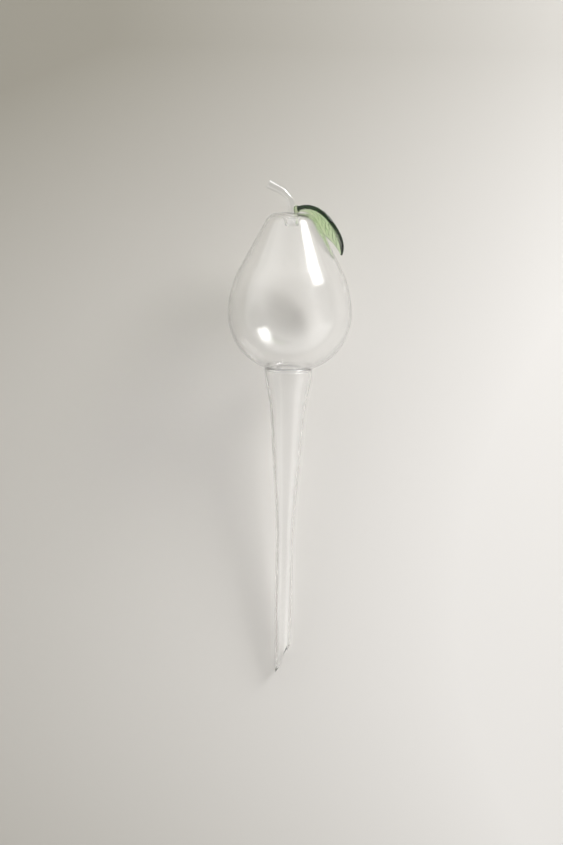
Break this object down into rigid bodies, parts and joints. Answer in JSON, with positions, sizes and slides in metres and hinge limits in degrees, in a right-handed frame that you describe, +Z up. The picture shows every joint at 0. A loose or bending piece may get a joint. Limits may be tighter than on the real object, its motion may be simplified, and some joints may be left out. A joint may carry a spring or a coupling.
{
  "type": "watering globe",
  "caption": "Clear glass watering globe in the shape of a pear, with a hollow bulb, a long open spike for the soil, a bent stalk and a green glass leaf.",
  "frame": {"origin": "on the axis of bulb and spike, at the mouth of the spike, where the globe meets the soil", "axes": "+Z up along the axis from spike to bulb, -X the side the stalk bends to, +X the side the leaf hangs on"},
  "size_m": [0.07, 0.07, 0.2838],
  "materials": {
    "clear_glass": "clear, fire-polished",
    "green_glass": "transparent green, pressed veins"
  },
  "bodies": {
    "root": {"pear_bulb": "clear_glass", "neck_seal": "clear_glass", "spike_tube": "clear_glass", "stalk_foot": "clear_glass", "stalk": "clear_glass", "leaf_blade": "green_glass", "leaf_joint": "green_glass"}
  },
  "joints": []
}
